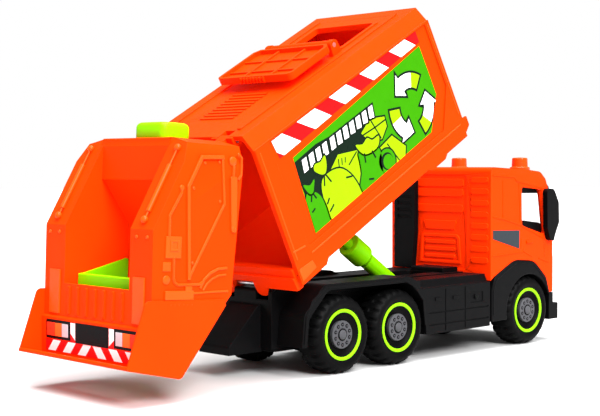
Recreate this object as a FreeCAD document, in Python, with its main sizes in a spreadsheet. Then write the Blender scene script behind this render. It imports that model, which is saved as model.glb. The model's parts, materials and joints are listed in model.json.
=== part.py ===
import FreeCAD, Part
import math
import os

from FreeCAD import Placement, Rotation, Vector

# A toy refuse truck: a three-axle chassis with a cab, a tipping container with a roof hatch,
# and a tailgate with a loading press, all in millimetres.
#
# Every piece is drawn in one truck frame: X forward from the rear axle, Y to the truck's left,
# Z up from the ground, with the container down and the tailgate shut.  The pieces that move are
# then placed in the rest pose: container raised, tailgate open and roof hatch folded back.

DIMENSIONS = {
    # whole truck
    "origin_shift": 25.47,
    "cab_width": 75.6,
    "body_width": 84.4,
    "wing_width": 86.8,
    # wheels
    "tyre_radius": 20.0,
    "tyre_width": 15.0,
    "rim_radius": 11.4,
    "hub_radius": 7.2,
    "track_half": 38.4,
    "middle_axle_x": 42.3,
    "front_axle_x": 156.3,
    "axle_radius": 1.5,
    "axle_hole_radius": 1.57,
    # chassis
    "spine_width": 40.0,
    "spine_top": 44.0,
    "spine_bottom": 14.0,
    "wall": 2.0,
    "skirt_width": 18.0,
    # cab
    "cab_rear_x": 120.6,
    "cab_roof_z": 104.5,
    "cab_wall": 2.4,
    "beacon_x": 167.2,
    "beacon_y": 23.3,
    "beacon_seat_z": 102.4,
    # container
    "panel_width": 84.0,
    "roof_width": 75.0,
    "floor_z": 51.0,
    "shoulder_z": 121.0,
    "roof_z": 129.0,
    "front_wall_x": 115.5,
    "shell_wall": 2.2,
    "tip_angle": 29.5,
    "tip_pivot_x": -29.3,
    "tip_pivot_z": 46.1,
    "pivot_pin_radius": 1.5,
    "pivot_hole_radius": 1.57,
    # tailgate
    "tail_opening_angle": 33.0,
    "tail_pivot_x": -25.0,
    "tail_pivot_z": 126.0,
    "hopper_width": 51.0,
    # roof hatch
    "hatch_pivot_x": 62.0,
    "hatch_pivot_z": 134.2,
    "hatch_closed_tilt": 1.0,
    "hatch_travel": 181.6,
    "hatch_width": 56.0,
    "hatch_length": 38.2,
    # ram
    "ram_base_x": 90.0,
    "ram_base_z": 30.7,
    "ram_eye_x": 29.0,
    "ram_eye_z": 47.0,
    "ram_bore_radius": 3.4,
    "ram_rod_radius": 3.33,
    "ram_tube_length": 56.6,
    "ram_eye_radius": 3.6,
    "ram_elevation": 33.95,
    "ram_reach": 81.06,
}

doc = FreeCAD.newDocument("RefuseTruck")
sheet = doc.addObject("Spreadsheet::Sheet", "dims")
for row, (alias, number) in enumerate(DIMENSIONS.items(), start=1):
    sheet.set(f"A{row}", alias)
    sheet.set(f"B{row}", str(number))
    sheet.setAlias(f"B{row}", alias)
doc.recompute()


def dim(alias):
    """The number in the named cell."""
    return float(sheet.get(alias))


# ---------------------------------------------------------------- poses
def turn_about_y(degrees, x, z):
    """A turn about the cross axis through (x, z)."""
    return Placement(Vector(), Rotation(Vector(0, 1, 0), degrees), Vector(x, 0, z))


def rest_poses():
    """Where each body's truck-frame drawing goes in the rest pose."""
    root = Placement(Vector(-dim("origin_shift"), 0, 0), Rotation())
    tip = turn_about_y(-dim("tip_angle"), dim("tip_pivot_x"), dim("tip_pivot_z"))
    open_tail = turn_about_y(dim("tail_opening_angle"), dim("tail_pivot_x"), dim("tail_pivot_z"))
    lid_turn = dim("hatch_closed_tilt") - dim("hatch_travel")
    open_hatch = Placement(
        Vector(dim("hatch_pivot_x"), 0, dim("hatch_pivot_z")), Rotation(Vector(0, 1, 0), lid_turn)
    )
    base = Vector(dim("ram_base_x"), 0, dim("ram_base_z"))
    container = root * tip
    return {
        "root": root,
        "container": container,
        "tailgate": container * open_tail,
        "hatch": container * open_hatch,
        "ram": root * Placement(base, Rotation(Vector(0, 1, 0), dim("ram_elevation") - 90)),
    }


POSES = rest_poses()


# ---------------------------------------------------------------- outlines
def corner_arc(before, corner, after, radius):
    """The arc that rounds a corner, as its two ends and its middle point."""
    toward = (before - corner).normalize()
    away = (after - corner).normalize()
    half = toward.getAngle(away) / 2
    inward = (toward + away).normalize()
    centre = corner + inward * (radius / math.sin(half))
    start = corner + toward * (radius / math.tan(half))
    end = corner + away * (radius / math.tan(half))
    return start, centre - inward * radius, end


def outline(points):
    """A closed outline of straight edges; a point's third number rounds that corner."""
    corners = [Vector(point[0], point[1], 0) for point in points]
    stops = []
    for index, point in enumerate(points):
        if len(point) < 3:
            stops.append((corners[index], None, corners[index]))
            continue
        before = corners[index - 1]
        after = corners[(index + 1) % len(points)]
        stops.append(corner_arc(before, corners[index], after, point[2]))
    edges = []
    for index, (_, _, here) in enumerate(stops):
        start, middle, end = stops[(index + 1) % len(stops)]
        if here.distanceToPoint(start) > 0.001:
            edges.append(Part.LineSegment(here, start))
        if middle is not None:
            edges.append(Part.Arc(start, middle, end))
    return edges


def ring(x, y, radius):
    """A full circle in an outline."""
    return [Part.Circle(Vector(x, y, 0), Vector(0, 0, 1), radius)]


def rectangle(low_x, high_x, low_y, high_y, corner_radius=None):
    """A rectangle, with rounded corners where a radius is given."""
    points = [(low_x, low_y), (high_x, low_y), (high_x, high_y), (low_x, high_y)]
    if corner_radius:
        points = [(x, y, corner_radius) for x, y in points]
    return outline(points)


def arc_through(start, middle, end):
    """One arc edge through three points."""
    return Part.Arc(Vector(*start, 0), Vector(*middle, 0), Vector(*end, 0))


# ---------------------------------------------------------------- pieces
class Piece:
    """One sub-part: a body built from slabs and turned profiles on its own origin planes."""

    all_pieces = []

    def __init__(self, label, pose="root"):
        self.body = doc.addObject("PartDesign::Body", label)
        self.body.Label = label
        self.body.Placement = POSES[pose]
        Piece.all_pieces.append(self.body)

    def sketch(self, plane, edges, centre=0):
        """A sketch on one of the body's planes, shifted along the axis it faces."""
        drawing = self.body.newObject("Sketcher::SketchObject", self.body.Name + "_sketch")
        base = [item for item in self.body.Origin.OriginFeatures if item.Role == plane + "_Plane"]
        drawing.AttachmentSupport = [(base[0], "")]
        drawing.MapMode = "FlatFace"
        # the XZ plane faces -Y, so a shift toward +Y is negative along its normal
        sign = -1 if plane == "XZ" else 1
        if isinstance(centre, str):
            drawing.setExpression("AttachmentOffset.Base.z", f"{sign} * ({cells(centre)})")
        else:
            drawing.AttachmentOffset = Placement(Vector(0, 0, sign * centre), Rotation())
        drawing.addGeometry(edges, False)
        return drawing

    def slab(self, kind, plane, edges, centre, thickness):
        """A slab of the outline, as thick on one side of its centre as on the other."""
        drawing = self.sketch(plane, edges, centre)
        feature = self.body.newObject("PartDesign::" + kind, self.body.Name + "_" + kind)
        feature.Profile = drawing
        feature.SideType = "Symmetric"
        if isinstance(thickness, str):
            feature.setExpression("Length", cells(thickness))
        else:
            feature.Length = thickness
        return self

    def add(self, plane, edges, centre, thickness):
        return self.slab("Pad", plane, edges, centre, thickness)

    def cut(self, plane, edges, centre, thickness):
        return self.slab("Pocket", plane, edges, centre, thickness)

    def add_pair(self, plane, edges, centre, thickness):
        """The same slab on both sides of the truck."""
        self.add(plane, edges, centre, thickness)
        return self.add(plane, edges, mirrored(centre), thickness)

    def cut_pair(self, plane, edges, centre, thickness):
        self.cut(plane, edges, centre, thickness)
        return self.cut(plane, edges, mirrored(centre), thickness)

    def turned(self, edges, kind="Revolution"):
        """A profile in the XY plane, turned a full circle about the sketch's upright axis."""
        drawing = self.sketch("XY", edges)
        feature = self.body.newObject("PartDesign::" + kind, self.body.Name + "_" + kind)
        feature.Profile = drawing
        feature.ReferenceAxis = (drawing, ["V_Axis"])
        feature.Angle = 360
        return self

    def move(self, x, y, z, rotation=Rotation()):
        """Moves the drawing within its body's pose."""
        self.body.Placement = self.body.Placement * Placement(Vector(x, y, z), rotation)
        return self


def cells(text):
    """An expression with every cell's alias sent to the spreadsheet."""
    return " ".join("dims." + word if word in DIMENSIONS else word for word in text.split())


def mirrored(centre):
    return f"-1 * ( {centre} )" if isinstance(centre, str) else -centre


def pin(label, pose, x, z, radius, half_length, centre=0):
    """A round pin across the truck."""
    body = Piece(label, pose)
    body.add("XZ", ring(x, z, radius), centre, 2 * half_length)
    return body


SIDES = {"right": -1, "left": 1}
AXLES = {"rear": 0.0, "middle": dim("middle_axle_x"), "front": dim("front_axle_x")}
HUB_Z = dim("tyre_radius")


# ---------------------------------------------------------------- wheels
def tyre(label, x, side):
    """A tyre with a rounded tread, a recess for its hub disc and cross grooves on the tread."""
    radius = dim("tyre_radius")
    width = dim("tyre_width")
    hub = dim("rim_radius")
    axle = dim("axle_radius")
    profile = outline([
        (axle, 3.2), (hub, 3.2), (hub + 0.4, 1.2), (13.6, 0.6), (16.8, 0.0, 2.5),
        (radius, 2.2, 2.0), (radius, width - 1.5, 1.2), (16.5, width), (14.5, width - 1.0),
        (13.0, 9.0), (axle + 2.5, 9.0), (axle + 2.5, width - 0.5), (axle, width - 0.5),
    ])
    body = Piece(label).turned(profile)
    facing = Rotation() if side < 0 else Rotation(Vector(0, 0, 1), 180)
    body.move(x, side * dim("track_half"), HUB_Z, facing)


def hub_disc(label, x, side):
    """A wheel's hub disc: a raised ring of nuts round a domed cap."""
    hub = dim("rim_radius")
    profile = outline([(0, 1.4), (hub - 0.1, 1.4), (hub - 0.1, 3.2), (0, 3.2)])
    raised = outline([
        (0, 0.1), (2.4, 0.1, 0.4), (3.0, 1.0), (4.2, 1.0), (dim("hub_radius"), 0.9, 0.3),
        (dim("hub_radius") + 0.4, 1.4), (0, 1.4),
    ])
    body = Piece(label).turned(profile).turned(raised)
    facing = Rotation() if side < 0 else Rotation(Vector(0, 0, 1), 180)
    body.move(x, side * dim("track_half"), HUB_Z, facing)


def axles_and_wheels():
    for name, x in AXLES.items():
        pin(f"{name}_axle", "root", x, HUB_Z, dim("axle_radius"), dim("track_half") - 3.2)
        for side_name, side in SIDES.items():
            tyre(f"{name}_tyre_{side_name}", x, side)
            hub_disc(f"{name}_hub_{side_name}", x, side)


# ---------------------------------------------------------------- chassis
SCREW_PLACES = [(-22, 13), (-22, -13), (66, 13.5), (66, -13.5), (136, 12), (136, -12)]
CAB_STEP_X = 118.0


def spine_roof(x):
    """The underside of the spine's roof, which steps down under the cab."""
    return dim("spine_top") - 3 if x < CAB_STEP_X else 35.0


def chassis_frame():
    """The spine: an open-bottomed channel with the ram's well and the tip pivot's ears."""
    top = dim("spine_top")
    bottom = dim("spine_bottom")
    pivot_x = dim("tip_pivot_x")
    pivot_z = dim("tip_pivot_z")
    body = Piece("chassis_frame")
    body.add("XZ", outline([
        (-33, bottom), (-33, top, 2), (CAB_STEP_X, top), (CAB_STEP_X, 38), (168, 38, 4), (168, bottom),
    ]), 0, "spine_width")
    body.cut("XZ", outline([
        (-31, bottom - 1), (-31, top - 3, 2), (CAB_STEP_X - 2, top - 3), (CAB_STEP_X - 2, 35),
        (166, 35), (166, bottom - 1),
    ]), 0, "spine_width - 2 * wall")
    # the rear underrun wedge and its hollow
    body.add("XZ", outline([(-54, 12), (-54, 16, 2), (-34, 36, 2), (-31.5, 36), (-31.5, 12)]), 0, 23)
    body.cut("XZ", outline([(-52, 11), (-52, 15.5), (-36, 31.5), (-36, 11)]), 0, 19)
    # ears that carry the container's pivot pin, with slots for its lugs between them
    ear = outline([
        (pivot_x - 3.0, 40), (pivot_x - 3.0, pivot_z + 3.0, 2.99),
        (pivot_x + 3.0, pivot_z + 3.0, 2.99), (pivot_x + 3.0, 40),
    ])
    body.add_pair("XZ", ear, 18.7, 2.6)
    for side in SIDES.values():
        low, high = sorted((side * 8.2, side * 17.4))
        body.cut("XY", rectangle(-34, -22.5, low, high), top, 11)
    # the well for the ram, and the cross holes for the pins and the axles
    body.cut("XY", rectangle(10, 104, -9.5, 9.5, 2), top, 12)
    body.cut("XZ", ring(pivot_x, pivot_z, dim("pivot_pin_radius")), 0, 60)
    body.cut("XZ", ring(dim("ram_base_x"), dim("ram_base_z"), dim("pivot_pin_radius")), 0, 60)
    for x in AXLES.values():
        body.cut("XZ", ring(x, HUB_Z, dim("axle_hole_radius")), 0, 60)
    for x, y in SCREW_PLACES:
        height = spine_roof(x) - bottom
        body.add("XY", ring(x, y, 3.0), bottom + height / 2, height)
        body.cut("XY", ring(x, y, 1.2), bottom + 4, 9)


def underbody_plate():
    """The flat cover under the spine, with a sunk seat for each screw's head."""
    body = Piece("underbody_plate")
    body.add("XY", rectangle(-30, 166, -17.7, 17.7, 3), dim("spine_bottom") - 1, 2)
    for x, y in SCREW_PLACES:
        body.cut("XY", ring(x, y, 1.2), dim("spine_bottom") - 1, 4)
        body.cut("XY", ring(x, y, 2.6), dim("spine_bottom") - 2, 2.4)


def chassis_screws():
    """One pan-head screw for each post."""
    body = Piece("chassis_screws")
    for x, y in SCREW_PLACES:
        body.add("XY", ring(x, y, 2.4), dim("spine_bottom") - 1.35, 1.1)
        body.add("XY", ring(x, y, 1.2), dim("spine_bottom") + 2, 8)


def side_skirt(side_name, side):
    """One side's rear mudguard and the locker boxes in front of it, moulded in one."""
    outer = dim("track_half") - 0.1
    middle = side * (outer - dim("skirt_width") / 2)
    body = Piece(f"side_skirt_{side_name}")
    body.add("XZ", outline([
        (-29.5, 16), (-28, 32, 6), (-14, 46.5, 8), (50, 46.5, 6), (58, 43.5, 3), (119.5, 43.5),
        (119.5, 14), (64, 14), (62, 33, 5), (50, 43.4, 6), (-11, 43.4, 6), (-24.5, 30, 6), (-26, 16),
    ]), middle, "skirt_width")
    shelf = outline([(34.6, 44.5), (34.6, 42.5), (36.2, 39.2, 1), (39.5, 39.2), (39.5, 44.5)])
    if side < 0:
        shelf = outline([(-34.6, 44.5), (-34.6, 42.5), (-36.2, 39.2, 1), (-39.5, 39.2), (-39.5, 44.5)])
    body.cut("YZ", shelf, 89.5, 61)
    # the boxes' hollow, open toward the spine, and the seams between their lids
    body.cut("XZ", rectangle(66, 117.5, 16, 37, 1), middle - side * 2, "skirt_width - 2")
    for seam_x in (80.0, 97.0):
        body.cut("XZ", rectangle(seam_x - 0.4, seam_x + 0.4, 15, 38), side * outer, 1.0)
    for seam_z in (19.0, 25.5):
        body.cut("XZ", rectangle(66, 118, seam_z - 0.35, seam_z + 0.35), side * outer, 1.0)
    body.cut("XZ", rectangle(101, 113, 28.5, 34.5, 1), side * outer, 1.0)


def front_fender(side_name, side):
    """A flared arch over one front wheel."""
    body = Piece(f"front_fender_{side_name}")
    body.add("XZ", outline([
        (177.2, 29), (173.8, 38.6, 8), (161.8, 48.6, 14), (143.0, 50.2, 18), (123.9, 41.4, 5),
        (121, 34), (121, 16), (140, 16),
    ]), side * 30.2, 16.4)
    body.cut("XZ", ring(dim("front_axle_x"), HUB_Z, dim("tyre_radius") + 1.2), side * 30.2, 20)


def front_bumper():
    """The bumper: a low nose with a set-back band up to the cab."""
    half = dim("cab_width") / 2
    body = Piece("front_bumper")
    body.add("XY", outline([
        (177.2, -half), (188, -half, 3), (190, -16, 14), (190, 16, 14), (188, half, 3),
        (177.2, half),
    ]), 17.4, 9.4)
    body.add("XY", outline([
        (177.2, -half), (183, -half, 3), (185, -16, 14), (185, 16, 14), (183, half, 3), (177.2, half),
    ]), 25.2, 7)
    body.cut("YZ", rectangle(-24, 24, 16, 20, 1), 190, 3)
    body.add("XZ", rectangle(168.2, 179, 16, 26), 0, 34)


def air_intake():
    """The upright intake stack behind the cab's left half."""
    body = Piece("air_intake")
    body.add("YZ", outline([
        (18, 44.2), (16, 66, 4), (16, 97, 1.5), (32, 97, 1.5), (32, 44.2),
    ]), 118.1, 3.6)
    for slot in range(4):
        body.cut("YZ", rectangle(18.5, 29.5, 86 - 4 * slot, 88 - 4 * slot, 0.6), 116.3, 1.4)


def cab_step():
    """The raised box between the spine and the cab's rear wall."""
    body = Piece("cab_step")
    body.add("XZ", outline([(104.5, 44), (104.5, 46.6, 1), (118.2, 46.6, 1), (118.2, 44)]), -3.5, 24)


# ---------------------------------------------------------------- cab
def cab_shell():
    """The cab: one hollow moulding, open below, with side windows and a windscreen."""
    rear = dim("cab_rear_x")
    roof = dim("cab_roof_z")
    wall = dim("cab_wall")
    body = Piece("cab_shell")
    arch_clear = [(177.6, 29.2), (174.1, 38.8, 8), (162.0, 48.9, 14), (143.0, 50.5, 18), (123.8, 41.7, 5)]
    body.add("XZ", outline([
        (rear, 39.5), (rear, roof, 3), (157, 102.6, 30), (168, 101.5, 6), (173.5, 97, 5),
        (177, 88, 6), (181, 60.5, 2), (181, 52, 1), (183, 46, 1), (182, 29.2),
    ] + arch_clear), 0, "cab_width")
    body.cut("XZ", outline([
        (rear + wall, roof - wall, 1), (157, 100.2, 30), (166.5, 99.3, 4),
        (171.3, 95.5, 4), (174.5, 87, 6), (178.6, 60.5), (179.2, 26), (rear + wall, 26),
    ]), 0, "cab_width - 2 * cab_wall")
    half = dim("cab_width") / 2
    for side in SIDES.values():
        corner = [
            Part.LineSegment(Vector(190, side * (half + 2), 0), Vector(190, side * (half - 5), 0)),
            Part.LineSegment(Vector(190, side * (half - 5), 0), Vector(184, side * (half - 5), 0)),
            arc_through((184, side * (half - 5)), (182.7, side * (half - 1.4)), (178.6, side * half)),
            Part.LineSegment(Vector(178.6, side * half, 0), Vector(178.6, side * (half + 2), 0)),
            Part.LineSegment(Vector(178.6, side * (half + 2), 0), Vector(190, side * (half + 2), 0)),
        ]
        body.cut("XY", corner, 65, 90)
    # side windows, windscreen and the pressed panels of the rear wall
    body.cut("XZ", outline([
        (150.2, 70, 2), (149.8, 92.7, 1.5), (169.8, 90.8, 1.5), (173.2, 63.8, 2),
    ]), 0, "cab_width + 4")
    body.cut("YZ", rectangle(-31, 31, 62, 93, 3), 178, 16)
    body.cut("YZ", rectangle(-20, 20, 45, 100, 2), rear, 1.2)
    for step in range(8):
        z = 97 - 6.6 * step
        for low, high in ((-36, -23.5), (23.5, 36)):
            body.add("YZ", rectangle(low, high, z - 1.6, z + 1.6, 1.2), rear - 0.1, 0.8)
    for z in (95.2, 89.4, 80.2):
        body.add("YZ", rectangle(-17.5, 17.5, z - 2.2, z + 2.2, 1.2), rear + 0.5, 1.0)
    # a trapezoid bar over an arched frame with three slats in it
    body.add("YZ", outline([(-13, 73, 1), (13, 73, 1), (10.5, 67.8, 1), (-10.5, 67.8, 1)]), rear + 0.5, 1.0)
    arch_outer = outline([(-16, 48), (-14.5, 65, 3), (14.5, 65, 3), (16, 48)])
    arch_inner = outline([(-14, 49.5), (-12.8, 63.4, 2), (12.8, 63.4, 2), (14, 49.5)])
    body.add("YZ", arch_outer + arch_inner, rear + 0.5, 1.0)
    for z in (60.4, 56.2, 52.0):
        body.add("YZ", rectangle(-11.5, 11.5, z - 1.0, z + 1.0, 0.9), rear + 0.5, 1.0)
    # flat seats on the roof for the beacons, each with its socket
    seat = dim("beacon_seat_z")
    for side in SIDES.values():
        body.add("XY", ring(dim("beacon_x"), side * dim("beacon_y"), 6.6), seat - 2.0, 4.0)
        body.cut("XY", ring(dim("beacon_x"), side * dim("beacon_y"), 2.0), seat, 10)


def cab_interior():
    """The black inner moulding: floor, seat backs, dashboard and roof lining."""
    inner = dim("cab_width") / 2 - dim("cab_wall") - 0.3
    body = Piece("cab_interior")
    body.add("XZ", outline([
        (123.2, 51), (123.2, 98, 3), (163, 97.5, 5), (169.5, 88.6), (127, 89.2, 3), (127, 60, 2),
        (134, 60), (132.5, 80, 2), (137.5, 80, 2), (141, 58, 2), (152, 58, 2), (154, 73, 2),
        (171.8, 71, 2), (175, 52), (160, 51.6),
    ]), 0, 2 * inner)
    body.cut("XY", rectangle(128, 142, -4, 4), 75, 29)


def sun_visor():
    """The thin visor across the top of the windscreen."""
    body = Piece("sun_visor")
    body.add("XZ", outline([
        (174.6, 95.3), (181.2, 90.6, 0.6), (182.4, 91.6, 0.6), (176.2, 97.6, 0.8), (173.8, 97.2),
    ]), 0, 68)
    body.cut("XZ", outline([
        (170, 100), (173.9, 97.0), (176.9, 88), (170, 88),
    ]), 0, 70)


def mirror(side_name, side):
    """A tall mirror housing on its bracket."""
    half = dim("cab_width") / 2
    body = Piece(f"mirror_{side_name}")
    body.add("XZ", outline([
        (170.0, 91.6, 2.5), (177.2, 91.2, 4), (182.0, 83, 4), (182.4, 71, 2), (178.8, 64.5, 2),
        (176.8, 60, 1), (173.2, 61, 2), (170.6, 68, 2),
    ]), side * (half + 1.9), 3.4)
    for z in (69.0, 86.0):
        body.add("XZ", rectangle(173.6, 176.4, z - 1.2, z + 1.2), side * (half + 0.3), 0.6)


def beacon(side_name, side):
    """A warning beacon: a base ring, a capped lens and a spigot down into the roof."""
    body = Piece(f"beacon_{side_name}")
    body.turned(outline([
        (0, -2.8), (1.95, -2.8), (1.95, 0), (6.0, 0), (6.0, 1.6, 0.5), (4.8, 1.9),
        (4.6, 6.6), (4.3, 7.3, 0.7), (0, 7.6),
    ]))
    body.move(dim("beacon_x"), side * dim("beacon_y"), dim("beacon_seat_z"), Rotation(Vector(1, 0, 0), 90))


def cab_decals():
    """The plain grey sticker on each side of the cab."""
    body = Piece("cab_decals")
    sticker = outline([(122, 68.2), (147.5, 67.4), (147.3, 56.6), (122, 63.2)])
    body.add_pair("XZ", sticker, dim("cab_width") / 2 + 0.15, 0.3)


# ---------------------------------------------------------------- container
def container_section(half_width, floor, shoulder, roof, half_roof):
    """The container's cross-section: upright sides that lean in above the shoulder."""
    return outline([
        (-half_width, floor), (half_width, floor), (half_width, shoulder), (half_roof, roof),
        (-half_roof, roof), (-half_width, shoulder),
    ])


def container_shell():
    """The tipping container: a shell open at the rear, with a hatch opening in its roof."""
    half = dim("panel_width") / 2
    floor = dim("floor_z")
    roof = dim("roof_z")
    shoulder = dim("shoulder_z")
    wall = dim("shell_wall")
    front = dim("front_wall_x")
    half_roof = dim("roof_width") / 2
    body = Piece("container_shell", "container")
    body.add("YZ", container_section(half, floor, shoulder, roof, half_roof), (front - 33) / 2, front + 33)
    body.cut("YZ", container_section(
        half - wall, floor + wall, shoulder - 0.8, roof - wall, half_roof - 1.1,
    ), (front - wall - 40) / 2, front - wall + 40)
    # the rear edge leans forward toward the roof
    body.cut("XZ", outline([(-32, 45), (-26.3, 131), (-45, 131), (-45, 45)]), 0, 100)
    # raised frame round each side panel, with the base rail below it
    rear_foot = outline([
        (-32, 49.2), (-26.6, 121.4), (front, 121.4), (front, 62), (119, 61.6), (119, 56.2, 1),
        (111, 51.6, 1), (95, 51.6), (92, 49.6), (80, 49.6), (77, 51.6), (-10, 51.6), (-13, 49.2),
    ])
    window = outline([(-19, 63.5, 2), (-17, 120.6, 1), (112, 120.6, 1), (112, 84), (98, 63.5, 2)])
    body.add_pair("XZ", rear_foot + window, half + 0.2, 1.2)
    body.add_pair("XZ", outline([
        (-31.8, 51.2), (-31.2, 60), (118.5, 60), (118.5, 56.2), (111, 53.4),
    ]), half - 1.2, 2.0)
    # roof hatch: its coaming, opening and hinge posts
    body.add("XY", rectangle(66.6, 99.8, -24, 24, 2), roof - 0.1, 2.0)
    body.cut("XY", rectangle(68.8, 97.6, -21.8, 21.8, 2), roof, 9)
    post_x = dim("hatch_pivot_x")
    post_z = dim("hatch_pivot_z")
    post = outline([
        (post_x - 3.5, roof - 1), (post_x - 2.6, post_z + 2.6, 2.5), (post_x + 2.6, post_z + 2.6, 2.5),
        (post_x + 3.5, roof - 1),
    ])
    body.add_pair("XZ", post, 23.4, 3.2)
    body.cut("XZ", ring(post_x, post_z, 1.2), 0, 60)
    # long roof ribs and a tread plate
    for side in SIDES.values():
        low, high = sorted((side * 27.5, side * 30.5))
        body.add("XY", rectangle(-20, 108, low, high, 1), roof + 0.3, 1.0)
    for row in range(9):
        body.add("XY", rectangle(-8 + 3.2 * row, -6.4 + 3.2 * row, -13, 13, 0.7), roof + 0.2, 0.8)
    # rear lugs round the pivot pin
    pivot_x = dim("tip_pivot_x")
    pivot_z = dim("tip_pivot_z")
    lug = outline([
        (-32.2, floor + 1), (-33, pivot_z - 4.2, 3.6), (pivot_x + 4.2, pivot_z - 4.2, 3.8),
        (pivot_x + 6, floor + 1),
    ])
    body.add_pair("XZ", lug, 12.8, 8.4)
    # the deep sill across the rear, cut away over the chassis ears, with a lobe behind each lug
    for side in SIDES.values():
        low, high = sorted((side * 20.5, side * 40.0))
        body.add("YZ", rectangle(low, high, 46.5, 58.5, 1), -31.1, 3.2)
        inner = side * 8.6
        body.add("YZ", outline([
            (inner, 46.9), (side * 40.0, 46.9, 1), (side * 40.0, 54, 1), (inner, 54),
        ]), -33.25, 1.3)
        body.add("YZ", outline([
            (inner, 52), (inner, 42, 3.5), (side * 17.0, 42, 3.5), (side * 17.0, 52),
        ]), -33.25, 1.3)
    body.add("YZ", rectangle(-22, 22, 50.3, 58.5), -31.1, 3.2)
    body.add("YZ", rectangle(-22, 22, 50.3, 54), -33.25, 1.3)
    body.cut("XZ", ring(pivot_x, pivot_z, dim("pivot_hole_radius")), 0, 60)
    # tunnel in the floor for the ram's head, with the cheeks that hold the ram's upper pin
    body.add("XZ", rectangle(16, 64, floor + 0.5, 60), 0, 22)
    body.cut("XZ", rectangle(18, 62, floor - 5, 58), 0, 18)
    eye_x = dim("ram_eye_x")
    eye_z = dim("ram_eye_z")
    cheek = outline([
        (eye_x - 3.5, 58.5), (eye_x - 3.5, eye_z - 3.5, 3.49), (eye_x + 3.5, eye_z - 3.5, 3.49),
        (eye_x + 3.5, 58.5),
    ])
    body.add_pair("XZ", cheek, 7.6, 2.4)
    body.cut("XZ", ring(eye_x, eye_z, 1.2), 0, 19)
    # tailgate hinge: notches in the roof's rear edge, with ears on both sides of each
    tail_x = dim("tail_pivot_x")
    tail_z = dim("tail_pivot_z")
    for side in SIDES.values():
        low, high = sorted((side * 20.0, side * 27.0))
        body.cut("XY", rectangle(-34, -20.5, low, high), roof, 9)
        for centre in (17.9, 29.1):
            body.add("XZ", outline([
                (tail_x - 2.8, tail_z - 2.8, 2.79), (tail_x - 2.8, roof - 0.2), (tail_x + 5, roof - 0.2),
                (tail_x + 2.8, tail_z - 2.8, 2.4),
            ]), side * centre, 4.0)
    body.cut("XZ", ring(tail_x, tail_z, 1.2), 0, 70)


def side_stickers(side_name, side):
    """One side's printed panel sticker and the hazard stripe above it."""
    face = dim("panel_width") / 2 + 0.15
    body = Piece(f"side_stickers_{side_name}", "container")
    body.add("XZ", outline([
        (-11.5, 66.5), (-6.5, 106.2), (103, 112.2), (103, 83.6), (89.5, 67.6),
    ]), side * face, 0.3)
    body.add("XZ", outline([(-14.2, 110), (-14.9, 119.8), (104, 120.3), (104, 113.9)]), side * face, 0.3)


# ---------------------------------------------------------------- roof hatch
def hatch_lid():
    """The lid, drawn shut and level from its pivot line at the origin: a ribbed tray."""
    length = dim("hatch_length")
    half = dim("hatch_width") / 2
    body = Piece("hatch_lid", "hatch")
    body.add("XY", outline([
        (-2.4, -21.2), (4.6, -21.2), (4.6, -half + 3), (8, -half), (length, -half, 3),
        (length, half, 3), (8, half), (4.6, half - 3), (4.6, 21.2), (-2.4, 21.2),
    ]), 0, 1.6)
    rim_outer = outline([
        (4.6, -half + 3), (8, -half), (length, -half, 3), (length, half, 3), (8, half),
        (4.6, half - 3),
    ])
    rim_inner = outline([
        (6.2, -half + 4), (9, -half + 1.8), (length - 1.6, -half + 1.8, 2),
        (length - 1.6, half - 1.8, 2), (9, half - 1.8), (6.2, half - 4),
    ])
    body.add("XY", rim_outer + rim_inner, -1.4, 3.2)
    for y in (-10.0, 10.0):
        body.add("XY", rectangle(5, length - 1, y - 0.7, y + 0.7), -1.1, 1.8)
    for x in (17.0, 29.0):
        body.add("XY", rectangle(x - 0.7, x + 0.7, -half + 1, half - 1), -1.0, 1.4)
    body.add("XZ", ring(0, 0, 2.4), 0, 42.4)
    body.cut("XZ", ring(0, 0, 1.27), 0, 60)
    for tooth in range(8):
        y = 2.4 * (tooth - 3.5)
        body.add("XY", rectangle(length - 1, length + 1.2, y - 0.7, y + 0.7, 0.5), -1.1, 3.0)


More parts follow.
